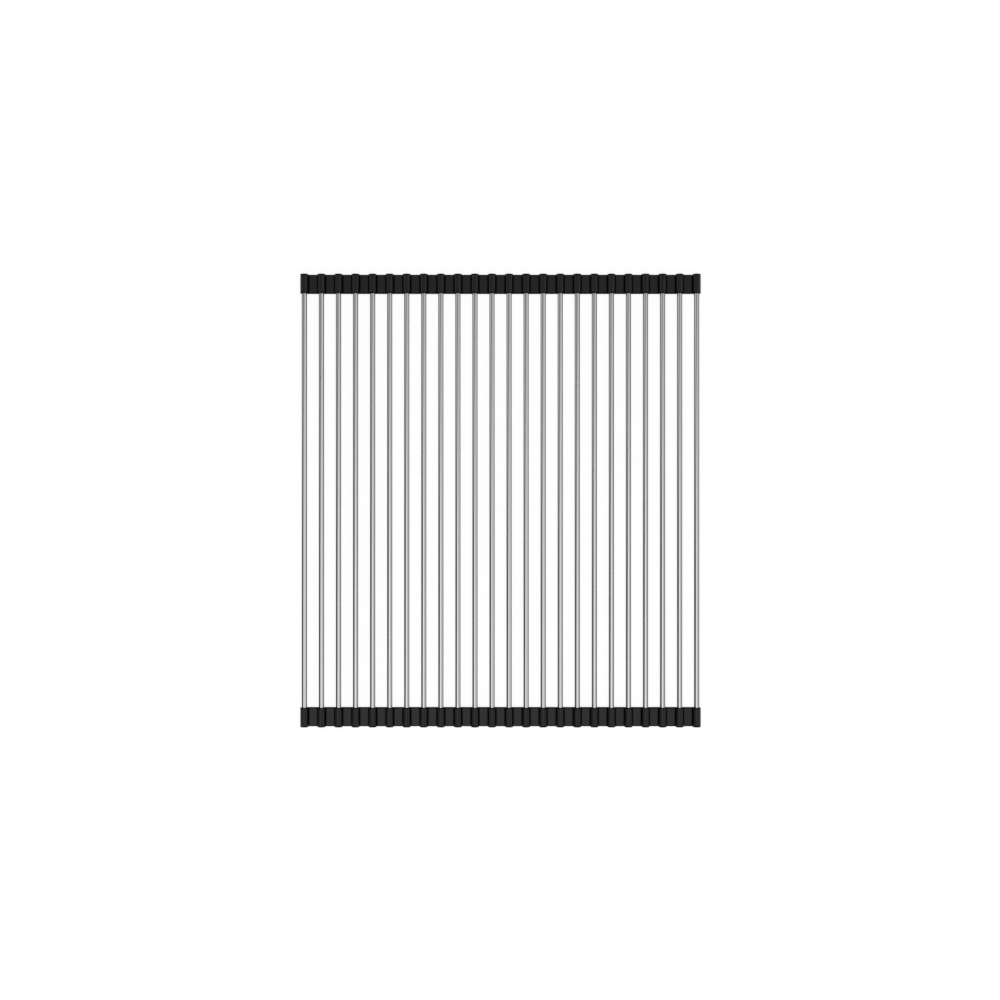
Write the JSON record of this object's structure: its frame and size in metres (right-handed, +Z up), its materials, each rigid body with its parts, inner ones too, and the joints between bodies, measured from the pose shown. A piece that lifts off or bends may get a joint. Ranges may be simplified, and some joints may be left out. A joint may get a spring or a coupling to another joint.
{
  "type": "roll-up sink drying rack",
  "caption": "Flat rack of parallel steel rods held at both ends by black silicone strips whose webs bend, so it lies across a sink and rolls up.",
  "frame": {"origin": "middle of the rack's flat underside, halfway along and across the rods", "axes": "+Y along the rods, +X across them, +Z up out of the face that dishes stand on"},
  "size_m": [0.381, 0.431, 0.0075],
  "materials": {
    "steel": "drawn stainless tube, bright satin",
    "silicone": "moulded black silicone, matt"
  },
  "bodies": {
    "link_01": {"rod_01": "steel", "sleeves_01": "silicone"},
    "link_02": {"rod_02": "steel", "sleeves_02": "silicone"},
    "link_03": {"rod_03": "steel", "sleeves_03": "silicone"},
    "link_04": {"rod_04": "steel", "sleeves_04": "silicone"},
    "link_05": {"rod_05": "steel", "sleeves_05": "silicone"},
    "link_06": {"rod_06": "steel", "sleeves_06": "silicone"},
    "link_07": {"rod_07": "steel", "sleeves_07": "silicone"},
    "link_08": {"rod_08": "steel", "sleeves_08": "silicone"},
    "link_09": {"rod_09": "steel", "sleeves_09": "silicone"},
    "link_10": {"rod_10": "steel", "sleeves_10": "silicone"},
    "link_11": {"rod_11": "steel", "sleeves_11": "silicone"},
    "link_12": {"rod_12": "steel", "sleeves_12": "silicone"},
    "link_13": {"rod_13": "steel", "sleeves_13": "silicone"},
    "link_14": {"rod_14": "steel", "sleeves_14": "silicone"},
    "link_15": {"rod_15": "steel", "sleeves_15": "silicone"},
    "link_16": {"rod_16": "steel", "sleeves_16": "silicone"},
    "link_17": {"rod_17": "steel", "sleeves_17": "silicone"},
    "link_18": {"rod_18": "steel", "sleeves_18": "silicone"},
    "link_19": {"rod_19": "steel", "sleeves_19": "silicone"},
    "link_20": {"rod_20": "steel", "sleeves_20": "silicone"},
    "link_21": {"rod_21": "steel", "sleeves_21": "silicone"},
    "link_22": {"rod_22": "steel", "sleeves_22": "silicone"},
    "link_23": {"rod_23": "steel", "sleeves_23": "silicone"},
    "link_24": {"rod_24": "steel", "sleeves_24": "silicone"}
  },
  "joints": [
    {"name": "web_01", "type": "hinge", "parent": "link_02", "child": "link_01", "pos_m": [-0.17853, 0, 0.002], "axis": [0, 1, 0], "range_deg": [0, 26], "stiffness_Nm_per_rad": 0.011},
    {"name": "web_02", "type": "hinge", "parent": "link_03", "child": "link_02", "pos_m": [-0.1623, 0, 0.002], "axis": [0, 1, 0], "range_deg": [0, 27], "stiffness_Nm_per_rad": 0.011},
    {"name": "web_03", "type": "hinge", "parent": "link_04", "child": "link_03", "pos_m": [-0.14607, 0, 0.002], "axis": [0, 1, 0], "range_deg": [0, 28], "stiffness_Nm_per_rad": 0.011},
    {"name": "web_04", "type": "hinge", "parent": "link_05", "child": "link_04", "pos_m": [-0.12984, 0, 0.002], "axis": [0, 1, 0], "range_deg": [0, 28], "stiffness_Nm_per_rad": 0.011},
    {"name": "web_05", "type": "hinge", "parent": "link_06", "child": "link_05", "pos_m": [-0.11361, 0, 0.002], "axis": [0, 1, 0], "range_deg": [0, 29], "stiffness_Nm_per_rad": 0.011},
    {"name": "web_06", "type": "hinge", "parent": "link_07", "child": "link_06", "pos_m": [-0.09738, 0, 0.002], "axis": [0, 1, 0], "range_deg": [0, 29], "stiffness_Nm_per_rad": 0.011},
    {"name": "web_07", "type": "hinge", "parent": "link_08", "child": "link_07", "pos_m": [-0.08115, 0, 0.002], "axis": [0, 1, 0], "range_deg": [0, 30], "stiffness_Nm_per_rad": 0.011},
    {"name": "web_08", "type": "hinge", "parent": "link_09", "child": "link_08", "pos_m": [-0.06492, 0, 0.002], "axis": [0, 1, 0], "range_deg": [0, 31], "stiffness_Nm_per_rad": 0.011},
    {"name": "web_09", "type": "hinge", "parent": "link_10", "child": "link_09", "pos_m": [-0.04869, 0, 0.002], "axis": [0, 1, 0], "range_deg": [0, 32], "stiffness_Nm_per_rad": 0.011},
    {"name": "web_10", "type": "hinge", "parent": "link_11", "child": "link_10", "pos_m": [-0.03246, 0, 0.002], "axis": [0, 1, 0], "range_deg": [0, 33], "stiffness_Nm_per_rad": 0.011},
    {"name": "web_11", "type": "hinge", "parent": "link_12", "child": "link_11", "pos_m": [-0.01623, 0, 0.002], "axis": [0, 1, 0], "range_deg": [0, 34], "stiffness_Nm_per_rad": 0.011},
    {"name": "web_12", "type": "hinge", "parent": "link_12", "child": "link_13", "pos_m": [0, 0, 0.002], "axis": [0, -1, 0], "range_deg": [0, 35], "stiffness_Nm_per_rad": 0.011},
    {"name": "web_13", "type": "hinge", "parent": "link_13", "child": "link_14", "pos_m": [0.01623, 0, 0.002], "axis": [0, -1, 0], "range_deg": [0, 36], "stiffness_Nm_per_rad": 0.011},
    {"name": "web_14", "type": "hinge", "parent": "link_14", "child": "link_15", "pos_m": [0.03246, 0, 0.002], "axis": [0, -1, 0], "range_deg": [0, 38], "stiffness_Nm_per_rad": 0.011},
    {"name": "web_15", "type": "hinge", "parent": "link_15", "child": "link_16", "pos_m": [0.04869, 0, 0.002], "axis": [0, -1, 0], "range_deg": [0, 39], "stiffness_Nm_per_rad": 0.011},
    {"name": "web_16", "type": "hinge", "parent": "link_16", "child": "link_17", "pos_m": [0.06492, 0, 0.002], "axis": [0, -1, 0], "range_deg": [0, 41], "stiffness_Nm_per_rad": 0.011},
    {"name": "web_17", "type": "hinge", "parent": "link_17", "child": "link_18", "pos_m": [0.08115, 0, 0.002], "axis": [0, -1, 0], "range_deg": [0, 43], "stiffness_Nm_per_rad": 0.011},
    {"name": "web_18", "type": "hinge", "parent": "link_18", "child": "link_19", "pos_m": [0.09738, 0, 0.002], "axis": [0, -1, 0], "range_deg": [0, 46], "stiffness_Nm_per_rad": 0.011},
    {"name": "web_19", "type": "hinge", "parent": "link_19", "child": "link_20", "pos_m": [0.11361, 0, 0.002], "axis": [0, -1, 0], "range_deg": [0, 49], "stiffness_Nm_per_rad": 0.011},
    {"name": "web_20", "type": "hinge", "parent": "link_20", "child": "link_21", "pos_m": [0.12984, 0, 0.002], "axis": [0, -1, 0], "range_deg": [0, 53], "stiffness_Nm_per_rad": 0.011},
    {"name": "web_21", "type": "hinge", "parent": "link_21", "child": "link_22", "pos_m": [0.14607, 0, 0.002], "axis": [0, -1, 0], "range_deg": [0, 58], "stiffness_Nm_per_rad": 0.011},
    {"name": "web_22", "type": "hinge", "parent": "link_22", "child": "link_23", "pos_m": [0.1623, 0, 0.002], "axis": [0, -1, 0], "range_deg": [0, 64], "stiffness_Nm_per_rad": 0.011},
    {"name": "web_23", "type": "hinge", "parent": "link_23", "child": "link_24", "pos_m": [0.17853, 0, 0.002], "axis": [0, -1, 0], "range_deg": [0, 75], "stiffness_Nm_per_rad": 0.011}
  ]
}
